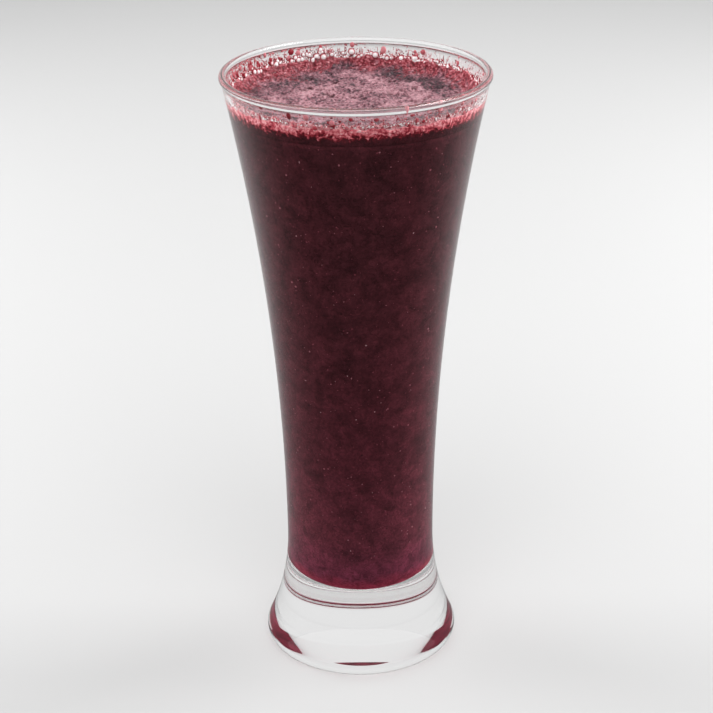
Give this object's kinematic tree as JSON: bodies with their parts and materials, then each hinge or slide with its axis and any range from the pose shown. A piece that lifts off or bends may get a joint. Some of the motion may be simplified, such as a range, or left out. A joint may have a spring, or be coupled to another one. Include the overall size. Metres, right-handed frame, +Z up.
{
  "type": "glass of berry juice",
  "caption": "Blended berry juice with a thin froth, in a tall clear glass that flares to a round lip and stands on a thick solid foot.",
  "frame": {"origin": "middle of the ring that the glass stands on", "axes": "+Z up along the axis of the glass; the glass and its contents are round about Z"},
  "size_m": [0.076, 0.076, 0.18],
  "materials": {
    "glass": "clear, fire polished",
    "juice": "wet, opaque dark berry red, flecked with pulp",
    "froth": "wet pink-mauve froth with small bubbles"
  },
  "bodies": {
    "root": {"glass": "glass", "juice": "juice", "froth": "froth"}
  },
  "joints": []
}
